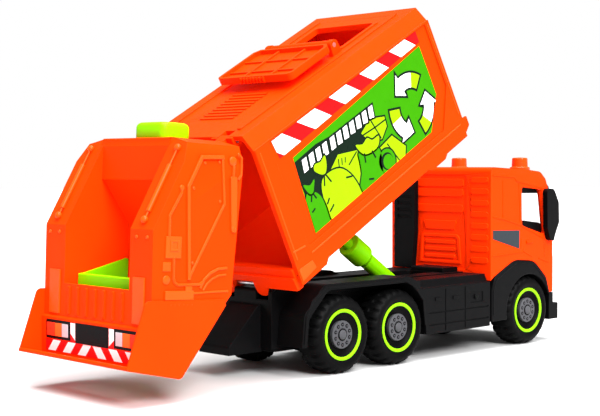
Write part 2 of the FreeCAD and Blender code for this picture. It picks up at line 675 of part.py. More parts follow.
# ---------------------------------------------------------------- tailgate
def tailgate_shell():
    """The tailgate: two hollow cheeks joined by a header, a top plate, a lip and a lamp panel."""
    half = dim("body_width") / 2
    hopper = dim("hopper_width") / 2
    body = Piece("tailgate_shell", "tailgate")
    body.add("XZ", outline([
        (-29.7, 125.3), (-59.6, 125.3), (-81.2, 82.8), (-80.2, 39.4), (-81.7, 38.6), (-80.6, 19.6),
        (-63, 17.2), (-38.6, 49, 2), (-34.4, 54),
    ]), 0, 2 * half)
    # the cheeks' top edges lean in and rise toward the flat top plate between them
    for side in SIDES.values():
        body.cut("YZ", outline([
            (side * 44, 114), (side * half, 114), (side * 38.2, 122.8), (side * 25.5, 125.3),
            (side * 25.5, 128), (side * 44, 128),
        ]), -57, 60)
    body.cut("XZ", rectangle(-58.8, -25, 123, 128), 0, "hopper_width")
    # the hopper between the cheeks
    body.cut("XZ", outline([
        (-20, 120.6), (-59.4, 120.6), (-59.4, 105.4), (-90, 105.4), (-90, 55.2), (-77.8, 55.2),
        (-78.8, 39.4), (-78.8, 21), (-66, 10), (-20, 10),
    ]), 0, "hopper_width")
    body.cut("XZ", outline([(-58.9, 107), (-59.4, 104), (-90, 104), (-90, 130), (-61.6, 130), (-61.4, 107)]),
             0, "hopper_width")
    body.add("XZ", outline([(-61.6, 105.4), (-61.6, 125.2, 0.8), (-58.8, 125.2, 0.8), (-58.8, 105.4)]),
             0, "hopper_width + 1")
    # each cheek's hollow, open toward the container
    cheek = outline([
        (-20, 120.4), (-59.4, 120.4), (-78.8, 82.4), (-78, 40), (-78.4, 22.4), (-65, 20.4),
        (-36, 56), (-20, 56),
    ])
    body.cut_pair("XZ", cheek, (hopper + half) / 2 - 0.9, half - hopper - 6.2)
    # lip over the lamps, with upright corrugations
    for rib in range(7):
        y = 7.0 * (rib - 3)
        body.add("XZ", outline([
            (-79.9, 54.6), (-81.3, 53.6), (-81.1, 41), (-79.7, 40.2), (-78.9, 41), (-79.3, 54.6),
        ]), y, 1.6)
    # the chute that closes the hopper toward the container
    body.add("XZ", outline([
        (-58.8, 107), (-61, 106.4), (-44.6, 84, 8), (-43, 62), (-41.4, 62), (-43, 84.6, 8),
    ]), 0, "hopper_width + 2")
    # knuckles on the hinge pin
    pin_x = dim("tail_pivot_x")
    pin_z = dim("tail_pivot_z")
    knuckle = outline([
        (-36, 120.8), (-36, 124.4, 1), (-30, 125.5, 2), (pin_x - 1.5, pin_z + 2.5, 2),
        (pin_x + 2.5, pin_z + 2.5, 2.2), (pin_x + 2.5, pin_z - 2.5, 2.2), (-29.7, 120.8),
    ])
    body.add_pair("XZ", knuckle, 23.5, 6.2)
    body.cut("XZ", ring(pin_x, pin_z, 1.27), 0, 70)
    # slot for the press's link
    body.cut("XY", rectangle(-40.4, -36.8, -9, 9), 121.8, 8)


def tail_wings():
    """The flared lower apron: a side plate on each cheek, joined by the rear step."""
    outer = dim("wing_width") / 2
    body = Piece("tail_wings", "tailgate")
    plate = outline([
        (-84.2, 51.6, 3), (-93, 21.6, 1.5), (-63, 16.4, 3), (-38.4, 49.2), (-39.5, 52),
    ])
    cheek_face = dim("body_width") / 2
    body.add_pair("XZ", plate, (outer + cheek_face) / 2, outer - cheek_face)
    body.add("XZ", outline([
        (-93, 21.6, 0.6), (-92.8, 23.4, 0.6), (-80.85, 21.3), (-80.7, 19.5),
    ]), 0, "wing_width")


def tail_lights():
    """The two lamp clusters on the lamp panel."""
    body = Piece("tail_lights", "tailgate")
    for centre in (-27.5, 27.5):
        body.add("XZ", outline([
            (-81.63, 37.4), (-82.4, 37.35), (-81.9, 28.4), (-81.13, 28.45),
        ]), centre, 20)


def number_plate():
    """The blank black plate between the lamps."""
    body = Piece("number_plate", "tailgate")
    body.add("XZ", outline([(-81.63, 37.4), (-82.1, 37.4), (-81.6, 28), (-81.1, 28)]), 0, 26)


def warning_stripes():
    """The striped sticker below the lamps."""
    body = Piece("warning_stripes", "tailgate")
    body.add("XZ", outline([(-81.2, 27.6), (-81.5, 27.6), (-81.28, 23.9), (-80.98, 23.9)]), 0, 76)


# ---------------------------------------------------------------- loading press
def press_handle():
    """The square grip on top of the tailgate."""
    body = Piece("press_handle", "tailgate")
    body.add("XY", rectangle(-54.3, -36.9, -11.4, 11.4, 2.5), 128.5, 9.9)


def press_link():
    """The flat strip that hangs from the grip and carries the tray."""
    body = Piece("press_link", "tailgate")
    body.add("XZ", rectangle(-39.6, -37.6, 42, 123.55), 0, 16)


def scoop_tray():
    """The tray that lifts the refuse: a floor with a rear wall and two short sides."""
    body = Piece("scoop_tray", "tailgate")
    body.add("XZ", outline([
        (-73.4, 45, 3), (-73.4, 59.8, 0.6), (-70, 60.4), (-45.4, 67.6, 0.8), (-45.2, 46.4, 1),
        (-39.6, 46.4), (-39.6, 42), (-70, 42, 3),
    ]), 0, 49.8)
    body.cut("XZ", outline([
        (-71.4, 47, 2), (-71.4, 70), (-38, 70), (-38, 44.4), (-69.4, 44.4, 2),
    ]), 0, 46.2)


# ---------------------------------------------------------------- ram
def ram_pieces():
    """The ram, drawn along its own length from the base pin: a collared tube and its rod."""
    bore = dim("ram_bore_radius")
    rod = dim("ram_rod_radius")
    tube = dim("ram_tube_length")
    reach = dim("ram_reach")
    upright = Rotation(Vector(1, 0, 0), 90)
    cylinder = Piece("ram_cylinder", "ram")
    cylinder.turned(outline([
        (bore, 7), (0, 7), (0, 2), (4.6, 2), (4.6, tube - 16), (6.7, tube - 13), (6.7, tube, 0.8),
        (bore, tube),
    ]))
    cylinder.add("XY", ring(0, 0, 4.6), 0, 8)
    cylinder.cut("XY", ring(0, 0, dim("pivot_hole_radius")), 0, 20)
    cylinder.move(0, 0, 0, upright)
    # the rod's eye is loose on its pin, so that the ram's straight stroke can follow the arc
    piston = Piece("ram_rod", "ram")
    piston.turned(outline([(0, reach - 44), (rod, reach - 44), (rod, reach - 4), (0, reach - 4)]))
    piston.add("XY", ring(0, reach, 5.0), 0, 6)
    piston.cut("XY", ring(0, reach, dim("ram_eye_radius")), 0, 20)
    piston.move(0, 0, 0, upright)


# ---------------------------------------------------------------- pins
def pins():
    """The steel pins of every hinge."""
    pivot = dim("pivot_pin_radius")
    pin("tip_pivot_pin", "root", dim("tip_pivot_x"), dim("tip_pivot_z"), pivot, 20)
    pin("ram_base_pin", "root", dim("ram_base_x"), dim("ram_base_z"), pivot, 20)
    pin("ram_upper_pin", "container", dim("ram_eye_x"), dim("ram_eye_z"), 1.2, 8.8)
    pin("hatch_pin", "container", dim("hatch_pivot_x"), dim("hatch_pivot_z"), 1.2, 25)
    for side_name, side in SIDES.items():
        pin(f"tail_hinge_pin_{side_name}", "container", dim("tail_pivot_x"), dim("tail_pivot_z"),
            1.2, 7.6, side * 23.5)


# ---------------------------------------------------------------- the whole truck
def build():
    """Draws every sub-part."""
    axles_and_wheels()
    chassis_frame()
    underbody_plate()
    chassis_screws()
    front_bumper()
    air_intake()
    cab_step()
    cab_shell()
    cab_interior()
    sun_visor()
    cab_decals()
    container_shell()
    hatch_lid()
    tailgate_shell()
    tail_wings()
    tail_lights()
    number_plate()
    warning_stripes()
    press_handle()
    press_link()
    scoop_tray()
    ram_pieces()
    pins()
    for side_name, side in SIDES.items():
        side_skirt(side_name, side)
        front_fender(side_name, side)
        mirror(side_name, side)
        beacon(side_name, side)
        side_stickers(side_name, side)


def check_and_export():
    """Stops on any failed object; otherwise writes each sub-part to its own file."""
    doc.recompute()
    for item in doc.Objects:
        failed = {"Invalid", "Error"} & set(item.State)
        if failed:
            raise RuntimeError(f"{item.Label} is {sorted(failed)}")
    for body in Piece.all_pieces:
        shape = body.Shape
        if shape.isNull() or not shape.isValid() or not shape.Solids:
            raise RuntimeError(f"{body.Label} has no valid solid")
    os.makedirs("parts", exist_ok=True)
    whole = FreeCAD.BoundBox()
    for body in Piece.all_pieces:
        body.Shape.exportStep(f"parts/{body.Label}.step")
        whole.add(body.Shape.BoundBox)
        print(f"{body.Label}: {len(body.Shape.Solids)} solids, {body.Shape.Volume:.0f} mm3")
    print("whole truck:", whole)


build()
check_and_export()
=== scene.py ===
"""Looks of the toy refuse truck: rounded plastic mouldings, printed stickers, ringed tyres.

Shapes are drawn in truck millimetres, with the body down and the loader shut (X forward from
the rear axle, Y to the left, Z up from the ground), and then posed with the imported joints.
"""
import json
from itertools import combinations
from math import cos, pi, radians, sin, tan

import bmesh
import bpy
from mathutils import Matrix, Vector


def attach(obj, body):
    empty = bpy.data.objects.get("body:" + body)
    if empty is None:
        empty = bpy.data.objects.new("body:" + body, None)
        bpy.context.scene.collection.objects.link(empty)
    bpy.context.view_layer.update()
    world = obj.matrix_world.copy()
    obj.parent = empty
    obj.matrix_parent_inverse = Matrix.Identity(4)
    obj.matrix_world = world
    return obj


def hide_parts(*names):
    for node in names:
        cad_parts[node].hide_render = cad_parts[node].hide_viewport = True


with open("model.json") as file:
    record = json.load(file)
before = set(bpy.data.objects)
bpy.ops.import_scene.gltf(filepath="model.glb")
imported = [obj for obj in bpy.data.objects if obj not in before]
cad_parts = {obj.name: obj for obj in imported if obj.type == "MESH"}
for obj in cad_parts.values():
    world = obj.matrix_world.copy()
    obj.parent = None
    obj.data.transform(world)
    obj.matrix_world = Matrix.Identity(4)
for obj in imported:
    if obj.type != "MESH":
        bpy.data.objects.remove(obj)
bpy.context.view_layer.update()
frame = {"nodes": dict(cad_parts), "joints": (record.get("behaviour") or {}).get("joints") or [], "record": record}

MM = 0.001
JOINTS = {joint["name"]: joint for joint in frame["joints"]}
SIDES = (("right", -1), ("left", 1))
BODY_OF = {node: body for body, nodes in frame["record"]["behaviour"]["bodies"].items() for node in nodes}
SLOT_OF = {entry["node"]: entry["material_slot"] for entry in frame["record"]["subparts"]}
REAR_AXLE_M = JOINTS["rear_wheels_spin"]["pos_m"]
ORIGIN = Matrix.Translation((REAR_AXLE_M[0], 0, 0)) @ Matrix.Scale(MM, 4)


def turned(name, degrees):
    """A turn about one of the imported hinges."""
    centre = Vector(JOINTS[name]["pos_m"])
    spin = Matrix.Rotation(radians(degrees), 4, Vector(JOINTS[name]["axis"]))
    return Matrix.Translation(centre) @ spin @ Matrix.Translation(-centre)


RAISED = turned("container_tip", -JOINTS["container_tip"]["range_deg"][1])
OPENED = turned("tailgate_swing", -JOINTS["tailgate_swing"]["range_deg"][0])
POSES = {
    "rear_wheelset": ORIGIN,
    "middle_wheelset": ORIGIN,
    "front_wheelset": ORIGIN,
    "chassis": ORIGIN,
    "container": RAISED @ ORIGIN,
    "tailgate": OPENED @ RAISED @ ORIGIN,
    "press": OPENED @ RAISED @ ORIGIN,
}


# ---------------------------------------------------------------- materials
# sockets of a colour Mix node
MIX_SHARE, MIX_FIRST, MIX_SECOND, MIX_RESULT = 0, 6, 7, 2


class Finish:
    """A node material: one shader fed by small procedural patterns."""

    def __init__(self, name, color, roughness, **settings):
        self.material = bpy.data.materials.new(name)
        self.material.use_nodes = True
        self.tree = self.material.node_tree
        self.shader = self.tree.nodes["Principled BSDF"]
        self.place = self.tree.nodes.new("ShaderNodeTexCoord").outputs["Object"]
        self.color = color
        self.shader.inputs["Base Color"].default_value = (*color, 1)
        self.shader.inputs["Roughness"].default_value = roughness
        for socket, value in settings.items():
            self.shader.inputs[socket.replace("_", " ")].default_value = value

    def noise(self, scale, detail=2.0):
        node = self.tree.nodes.new("ShaderNodeTexNoise")
        node.inputs["Scale"].default_value = scale
        node.inputs["Detail"].default_value = detail
        self.tree.links.new(self.place, node.inputs["Vector"])
        return node.outputs["Fac"]

    def spread(self, source, low, high):
        """Maps a 0-1 pattern onto low..high, stretching its middle."""
        node = self.tree.nodes.new("ShaderNodeMapRange")
        node.inputs["From Min"].default_value = 0.3
        node.inputs["From Max"].default_value = 0.7
        node.inputs["To Min"].default_value = low
        node.inputs["To Max"].default_value = high
        self.tree.links.new(source, node.inputs["Value"])
        return node.outputs["Result"]

    def mottled(self, other, scale, share):
        """Drifts the colour part of the way toward another one."""
        node = self.tree.nodes.new("ShaderNodeMix")
        node.data_type = "RGBA"
        node.inputs[MIX_FIRST].default_value = (*self.color, 1)
        node.inputs[MIX_SECOND].default_value = (*other, 1)
        self.tree.links.new(self.spread(self.noise(scale), 0.0, share), node.inputs[MIX_SHARE])
        self.tree.links.new(node.outputs[MIX_RESULT], self.shader.inputs["Base Color"])
        return self

    def uneven_gloss(self, scale, low, high):
        self.tree.links.new(self.spread(self.noise(scale, 4.0), low, high), self.shader.inputs["Roughness"])
        return self

    def grain(self, scale, depth, strength=0.25):
        """A fine moulded surface, as deep as depth metres."""
        node = self.tree.nodes.new("ShaderNodeBump")
        node.inputs["Distance"].default_value = depth
        node.inputs["Strength"].default_value = strength
        self.tree.links.new(self.noise(scale, 3.0), node.inputs["Height"])
        self.tree.links.new(node.outputs["Normal"], self.shader.inputs["Normal"])
        return self


def moulded_plastic(name, color, deeper, roughness, grain_depth, shine):
    """Injection-moulded plastic: slight colour drift, satin gloss and a fine grain."""
    finish = Finish(name, color, roughness, Specular_IOR_Level=shine)
    finish.mottled(deeper, 45.0, 0.5)
    finish.uneven_gloss(260.0, roughness - 0.05, roughness + 0.06)
    return finish.grain(2600.0, grain_depth).material


def printed_film(name, color, drift=0.85):
    """Printed label film: nearly even ink under a smooth clear layer."""
    deeper = tuple(channel * drift for channel in color)
    finish = Finish(name, color, 0.3, Specular_IOR_Level=0.03, Coat_Weight=0.01, Coat_Roughness=0.15)
    finish.mottled(deeper, 120.0, 0.35)
    finish.uneven_gloss(500.0, 0.26, 0.36)
    return finish.grain(1500.0, 0.00001, 0.15).material


def drawn_steel():
    """Drawn wire for the axles and pins."""
    finish = Finish("drawn_steel", (0.56, 0.56, 0.58), 0.32, Metallic=1.0)
    finish.mottled((0.40, 0.40, 0.42), 300.0, 0.6)
    finish.uneven_gloss(900.0, 0.25, 0.42)
    return finish.grain(3000.0, 0.00002).material


ORANGE = moulded_plastic("orange_moulding", (0.985, 0.035, 0.0005), (0.975, 0.030, 0.0004),
                         roughness=0.40, grain_depth=0.00003, shine=0.02)
# a lighter, glossier copy of the orange plastic: painted highlight on the raised lines, frames and beads
PAINTED_HIGHLIGHT_ORANGE = moulded_plastic("orange_painted_highlight", (0.985, 0.060, 0.0010), (0.975, 0.050, 0.0008),
                         roughness=0.36, grain_depth=0.00002, shine=0.12)
BEACON = moulded_plastic("beacon_orange", (0.95, 0.050, 0.002), (0.92, 0.04, 0.002),
                         roughness=0.26, grain_depth=0.00001, shine=0.12)
LIME = moulded_plastic("lime_moulding", (0.19, 0.62, 0.0008), (0.16, 0.57, 0.0005),
                       roughness=0.36, grain_depth=0.00003, shine=0.05)
BLACK = moulded_plastic("black_moulding", (0.0018, 0.0018, 0.0020), (0.0030, 0.0030, 0.0033),
                        roughness=0.42, grain_depth=0.00004, shine=0.045)
GREY = moulded_plastic("hub_grey", (0.060, 0.060, 0.066), (0.045, 0.045, 0.050),
                       roughness=0.38, grain_depth=0.00002, shine=0.1)
RUBBER = moulded_plastic("tyre_rubber", (0.0015, 0.0015, 0.0016), (0.0028, 0.0028, 0.0028),
                         roughness=0.50, grain_depth=0.00006, shine=0.04)
RING_PAINT = moulded_plastic("ring_paint", (0.22, 0.58, 0.004), (0.19, 0.54, 0.002),
                             roughness=0.42, grain_depth=0.00002, shine=0.06)
STEEL = drawn_steel()
GREEN_FILM = printed_film("green_film", (0.030, 0.22, 0.001), 0.8)
LIME_FILM = printed_film("lime_film", (0.24, 0.42, 0.002))
DARK_FILM = printed_film("dark_film", (0.005, 0.012, 0.007))
WHITE_FILM = printed_film("white_film", (0.93, 0.90, 0.93), 0.95)
RED_FILM = printed_film("red_film", (0.66, 0.006, 0.007))
SLATE_FILM = printed_film("slate_film", (0.028, 0.033, 0.039))
BLACK_FILM = printed_film("black_film", (0.003, 0.003, 0.0035))
AMBER_FILM = printed_film("amber_film", (0.90, 0.11, 0.012))
LAMP_RED_FILM = printed_film("lamp_red_film", (0.90, 0.035, 0.012))
LAMP_WHITE_FILM = printed_film("lamp_white_film", (0.50, 0.46, 0.50), 0.6)


# ---------------------------------------------------------------- outlines
def rounded(points, steps=5):
    """An outline; a point's third number is the radius that rounds that corner."""
    outline = []
    for index, point in enumerate(points):
        corner = Vector(point[:2])
        if len(point) < 3:
            outline.append(corner)
            continue
        toward = (Vector(points[index - 1][:2]) - corner).normalized()
        away = (Vector(points[(index + 1) % len(points)][:2]) - corner).normalized()
        half = toward.angle(away) / 2
        centre = corner + (toward + away).normalized() * (point[2] / sin(half))
        start = corner + toward * (point[2] / tan(half)) - centre
        sweep = start.angle_signed(corner + away * (point[2] / tan(half)) - centre)
        for step in range(steps + 1):
            outline.append(centre + Matrix.Rotation(-sweep * step / steps, 2) @ start)
    return outline


def offset(outline, distance):
    """The outline grown by a distance, with mitred corners."""
    points = [Vector(point[:2]) for point in outline]
    area = sum(a.x * b.y - b.x * a.y for a, b in zip(points, points[1:] + points[:1]))
    outward = distance if area > 0 else -distance
    grown = []
    for index, here in enumerate(points):
        back = (here - points[index - 1]).normalized()
        ahead = (points[(index + 1) % len(points)] - here).normalized()
        normal = Vector((back.y + ahead.y, -back.x - ahead.x)).normalized()
        mitre = max(0.4, normal.dot(Vector((ahead.y, -ahead.x))))
        grown.append(here + normal * (outward / mitre))
    return grown


def circle(x, y, radius, sides=28):
    turns = [2 * pi * step / sides for step in range(sides)]
    return [Vector((x + radius * cos(turn), y + radius * sin(turn))) for turn in turns]


def box_outline(low_x, high_x, low_y, high_y, radius=None):
    """A rectangle, with rounded corners if it has a radius."""
    corners = [(low_x, low_y), (high_x, low_y), (high_x, high_y), (low_x, high_y)]
    return rounded([(*corner, radius) for corner in corners]) if radius else corners


# ---------------------------------------------------------------- pieces
# edges bent more than the first angle are rounded, but not at corners narrower than the second
RIM_ANGLE = radians(28)
NARROW_CORNER = radians(25)
# points of the CAD mesh nearer than this are one, and faces that bend less than this are one
WELD_M = 2e-6
FLAT_ANGLE = radians(2)


class Piece:
    """A mesh built from closed prisms, tubes and turned shapes, in truck millimetres."""

    def __init__(self, name):
        self.name = name
        self.mesh = bmesh.new()
        self.ink = 0

    def loop(self, points):
        return [self.mesh.verts.new(point) for point in points]

    def face(self, corners):
        self.mesh.faces.new(corners).material_index = self.ink

    def skin(self, loops, closed=False):
        """Joins loops of equally many points; the first and last are capped unless closed."""
        pairs = list(zip(loops, loops[1:]))
        if closed:
            pairs.append((loops[-1], loops[0]))
        for one, two in pairs:
            for index, corner in enumerate(one):
                self.face([one[index - 1], corner, two[index], two[index - 1]])
        if not closed:
            self.face(loops[0])
            self.face(loops[-1])

    def prism(self, outline, low, high):
        """An outline in x and z, pushed along y from low to high."""
        self.skin([self.loop([(x, y, z) for x, z in outline]) for y in (low, high)])

    def frame_prism(self, outer, inner, low, high):
        """A prism with a hole; both outlines have equally many points."""
        self.skin([
            self.loop([(x, low, z) for x, z in outer]),
            self.loop([(x, high, z) for x, z in outer]),
            self.loop([(x, high, z) for x, z in inner]),
            self.loop([(x, low, z) for x, z in inner]),
        ], closed=True)

    def tube(self, path, radius, sides):
        """A round bar along a path of points that all have the same y."""
        points = [Vector(point) for point in path]
        loops = []
        for index, here in enumerate(points):
            last = index == len(points) - 1
            ahead = None if last else (points[index + 1] - here).normalized()
            back = (here - points[index - 1]).normalized() if index else ahead
            ahead = ahead or back
            along = (back + ahead).normalized()
            side = along.cross(Vector((0, 1, 0))).normalized()
            up = side.cross(along)
            stretch = 1 / max(0.5, along.dot(ahead))
            ring = []
            for step in range(sides):
                turn = 2 * pi * step / sides
                ring.append(here + side * (cos(turn) * radius * stretch) + up * (sin(turn) * radius))
            loops.append(self.loop(ring))
        self.skin(loops)

    def turn(self, profile, centre, axis, sides, closed=False, teeth=0):
        """A profile turned about an axis through the centre.

        Its points are (radius, distance) or (radius, distance, depth of the gaps between teeth).
        """
        spin = Vector((0, 0, 1)).rotation_difference(Vector(axis)).to_matrix()
        period = sides // teeth if teeth else 0
        rings = []
        for radius, distance, *gap in profile:
            ring = []
            for step in range(sides):
                here = radius - gap[0] if gap and step % period < 2 else radius
                turn = 2 * pi * step / sides
                ring.append(Vector(centre) + spin @ Vector((here * cos(turn), here * sin(turn), distance)))
            rings.append(self.loop(ring))
        self.skin(rings, closed)

    def done(self, body, materials, slot, bevel=0.0, replaces=(), sharp=35):
        """Closes the mesh and hands the piece to its body."""
        bmesh.ops.recalc_face_normals(self.mesh, faces=self.mesh.faces)
        settle(self.name, self.mesh, body, materials, bevel, replaces, sharp, POSES[body])


def weigh_rims(mesh):
    """Marks the sharp edges to be rounded, but not two that leave a corner almost side by side."""
    weight = mesh.edges.layers.float.new("bevel_weight_edge")
    mesh.normal_update()
    rims = {edge for edge in mesh.edges if edge.calc_face_angle(0.0) > RIM_ANGLE}
    for rim in rims:
        rim[weight] = 1.0
    for corner in mesh.verts:
        leaving = [edge for edge in corner.link_edges if edge in rims]
        for first, second in combinations(leaving, 2):
            ahead = first.other_vert(corner).co - corner.co
            aside = second.other_vert(corner).co - corner.co
            if ahead.angle(aside, 0.0) < NARROW_CORNER:
                first[weight] = 0.0
                second[weight] = 0.0


def settle(name, mesh, body, materials, bevel, replaces, sharp, pose=None):
    """Makes the object of a bmesh, rounds its edges and lets it ride on its body."""
    if bevel:
        weigh_rims(mesh)
    data = bpy.data.meshes.new(name)
    mesh.to_mesh(data)
    mesh.free()
    if pose is not None:
        data.transform(pose)
    for material in materials:
        data.materials.append(material)
    data.shade_smooth()
    data.set_sharp_from_angle(angle=radians(sharp))
    made = bpy.data.objects.new(name, data)
    bpy.context.scene.collection.objects.link(made)
    if bevel:
        rounding = made.modifiers.new("rounding", "BEVEL")
        rounding.width = bevel * MM
        rounding.segments = 3
        rounding.limit_method = "WEIGHT"
        rounding.use_clamp_overlap = False
        rounding.face_strength_mode = "FSTR_AFFECTED"
        shading = made.modifiers.new("shading", "WEIGHTED_NORMAL")
        shading.use_face_influence = True
        shading.keep_sharp = True
    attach(made, body)
    if replaces:
        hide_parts(*replaces)


def rounded_node(node, material, bevel):
    """A copy of a CAD node with its flat faces joined up and its sharp edges rounded."""
    mesh = bmesh.new()
    mesh.from_mesh(frame["nodes"][node].data)
    bmesh.ops.remove_doubles(mesh, verts=mesh.verts, dist=WELD_M)
    bmesh.ops.dissolve_limit(mesh, angle_limit=FLAT_ANGLE, verts=mesh.verts, edges=mesh.edges)
    bmesh.ops.triangulate(mesh, faces=mesh.faces)
    for face in mesh.faces:
        face.material_index = 0
    settle(node + "_moulding", mesh, BODY_OF[node], [material], bevel, [node], 32)


# ---------------------------------------------------------------- stage
FLOOR_SIZE_M = 8
CAMERA_SPOT = Vector((-473.75, -498.0, 107.75))
CAMERA_HEADING = radians(46.06)
CAMERA_PITCH = radians(-2.03)
CAMERA_ROLL = radians(0.148)
LENS_MM = 78.47
SENSOR_MM = 36


def floor():
    bpy.ops.mesh.primitive_plane_add(size=FLOOR_SIZE_M)
    plane = bpy.context.object
    plane.name = "floor"
    paper = Finish("studio_paper", (0.52, 0.52, 0.52), 0.6).mottled((0.50, 0.50, 0.50), 3.0, 0.5)
    plane.data.materials.append(paper.material)


def soft_light(name, toward_light, strength, spread):
    """Even light from one direction, as soft as a source that many degrees wide."""
    lamp = bpy.data.lights.new(name, "SUN")
    lamp.energy = strength
    lamp.angle = radians(spread)
    holder = bpy.data.objects.new(name, lamp)
    bpy.context.scene.collection.objects.link(holder)
    holder.rotation_mode = "QUATERNION"
    holder.rotation_quaternion = (-Vector(toward_light)).to_track_quat("-Z", "Y")


def studio():
    world = bpy.data.worlds.new("studio")
    bpy.context.scene.world = world
    world.use_nodes = True
    backdrop = world.node_tree.nodes["Background"]
    backdrop.inputs["Color"].default_value = (1.0, 1.0, 1.0, 1)
    # white behind the truck, and a weaker fill on it
    seen = world.node_tree.nodes.new("ShaderNodeLightPath").outputs["Is Camera Ray"]
    level = world.node_tree.nodes.new("ShaderNodeMapRange")
    level.inputs["To Min"].default_value = 0.45
    level.inputs["To Max"].default_value = 1.0
    world.node_tree.links.new(seen, level.inputs["Value"])
    world.node_tree.links.new(level.outputs["Result"], backdrop.inputs["Strength"])
    soft_light("overhead", (0.05, -0.1, 1.0), strength=8.5, spread=55)
    soft_light("key", (-0.3, -1.0, 0.75), strength=5.4, spread=25)
    bpy.context.scene.view_settings.view_transform = "Standard"


def camera():
    """At the photograph's viewing angle."""
    level_share = cos(CAMERA_PITCH)
    ahead = Vector((cos(CAMERA_HEADING) * level_share, sin(CAMERA_HEADING) * level_share, sin(CAMERA_PITCH)))
    lens = bpy.data.cameras.new("camera")
    lens.lens = LENS_MM
    lens.sensor_width = SENSOR_MM
    holder = bpy.data.objects.new("camera", lens)
    bpy.context.scene.collection.objects.link(holder)
    holder.location = ORIGIN @ CAMERA_SPOT
    holder.rotation_mode = "QUATERNION"
    level = ahead.to_track_quat("-Z", "Y")
    roll = Matrix.Rotation(CAMERA_ROLL, 4, ahead).to_quaternion()
    holder.rotation_quaternion = roll @ level
    bpy.context.scene.camera = holder


# ---------------------------------------------------------------- wheels
AXLES = {axle: (JOINTS[axle + "_wheels_spin"]["pos_m"][0] - REAR_AXLE_M[0]) / MM
         for axle in ("rear", "middle", "front")}
AXLE_Z = REAR_AXLE_M[2] / MM
WHEEL_FACE = 38.4
TREAD_BLOCKS = 24
NUT_COUNT = 10
NUT_CIRCLE = 5.2
# turned sections: radius, distance inward from the wheel's face, depth of the gaps in the tread
TYRE_SECTION = [
    (1.6, 8.6), (12.6, 8.8), (14.4, 14.0), (16.4, 15.0), (18.4, 14.8, 0.5), (19.6, 14.0, 0.9),
    (19.95, 12.8, 0.9), (20.0, 9.6, 0.9), (20.0, 9.0), (20.0, 7.0), (20.0, 6.4, 0.9), (19.95, 3.6, 0.9),
    (19.5, 2.4, 0.9), (18.6, 1.2, 0.6), (17.6, 0.5), (16.6, 0.15), (15.4, 0.1), (14.6, 0.35),
    (13.6, 0.7), (12.0, 1.0), (11.3, 1.3), (10.2, 2.6), (8.2, 3.2), (1.6, 3.3),
]
RING_SECTION = [(11.5, 1.25), (11.35, 0.75), (11.7, 0.5), (12.7, 0.35), (13.05, 0.5), (13.1, 0.95)]
DISC_SECTION = [(0.05, 3.2), (7.0, 3.2), (7.2, 1.5), (7.0, 1.15), (3.5, 1.1), (3.2, 1.35), (0.05, 1.35)]
CAP_SECTION = [(0.05, 1.5), (2.5, 1.5), (2.45, 0.75), (1.9, 0.35), (1.0, 0.18), (0.05, 0.12)]
CAP_GROOVE = [(3.1, 1.2), (3.1, 1.06), (2.55, 1.06), (2.55, 1.2)]
NUT_SEAT = [(0.05, 1.4), (1.0, 1.4), (1.0, 1.05), (0.05, 1.05)]
NUT_SECTION = [(0.05, 1.3), (0.5, 1.3), (0.45, 0.85), (0.05, 0.85)]


def wheel(axle, x, side_name, side):
    """A tyre with tread blocks and a painted ring, and its grey disc with ten nuts."""
    body = axle + "_wheelset"
    inward = (0, -side, 0)
    centre = (x, side * WHEEL_FACE, AXLE_Z)
    tyre = Piece(f"{axle}_tread_{side_name}")
    tyre.turn(TYRE_SECTION, centre, inward, sides=6 * TREAD_BLOCKS, closed=True, teeth=TREAD_BLOCKS)
    tyre.ink = 1
    tyre.turn(RING_SECTION, centre, inward, sides=96, closed=True)
    tyre.done(body, [RUBBER, RING_PAINT], "tyre_rubber", replaces=[f"{axle}_tyre_{side_name}"], sharp=38)
    disc = Piece(f"{axle}_nuts_{side_name}")
    disc.turn(DISC_SECTION, centre, inward, sides=64)
    disc.turn(CAP_SECTION, centre, inward, sides=32)
    for nut in range(NUT_COUNT):
        turn = 2 * pi * (nut + 0.5) / NUT_COUNT
        place = (x + NUT_CIRCLE * cos(turn), side * WHEEL_FACE, AXLE_Z + NUT_CIRCLE * sin(turn))
        disc.ink = 1
        disc.turn(NUT_SEAT, place, inward, sides=16)
        disc.ink = 0
        disc.turn(NUT_SECTION, place, inward, sides=6)
    disc.ink = 1
    disc.turn(CAP_GROOVE, centre, inward, sides=32, closed=True)
    disc.done(body, [GREY, BLACK], "hub_grey", replaces=[f"{axle}_hub_{side_name}"], sharp=32)


# ---------------------------------------------------------------- stickers
PANEL_FACE = 42.0
FILM_THICKNESS = 0.15
INK_LAYER = 0.03
PANEL_STICKER = [(-11.5, 66.5), (-6.5, 106.2), (103, 112.2), (103, 83.6), (89.5, 67.6)]
STRIPE_STICKER = [(-14.2, 110.0), (-14.9, 119.8), (104, 120.3), (104, 113.9)]
FILM_INKS = {"green": 0, "lime": 1, "dark": 2, "white": 3, "red": 4}
FILMS = [GREEN_FILM, LIME_FILM, DARK_FILM, WHITE_FILM, RED_FILM]


def clipped(outline, border):
    """The part of an outline inside a convex border."""
    points = [Vector(point[:2]) for point in outline]
    edges = [Vector(point[:2]) for point in border]
    area = sum(a.x * b.y - b.x * a.y for a, b in zip(edges, edges[1:] + edges[:1]))
    facing = 1 if area > 0 else -1
    for one, two in zip(edges, edges[1:] + edges[:1]):
        normal = Vector((two.y - one.y, one.x - two.x)) * -facing
        kept = []
        for index, here in enumerate(points):
            before = points[index - 1]
            was, now = (before - one).dot(normal), (here - one).dot(normal)
            if (was > 0) != (now > 0):
                kept.append(before.lerp(here, was / (was - now)))
            if now > 0:
                kept.append(here)
        points = kept
    return points


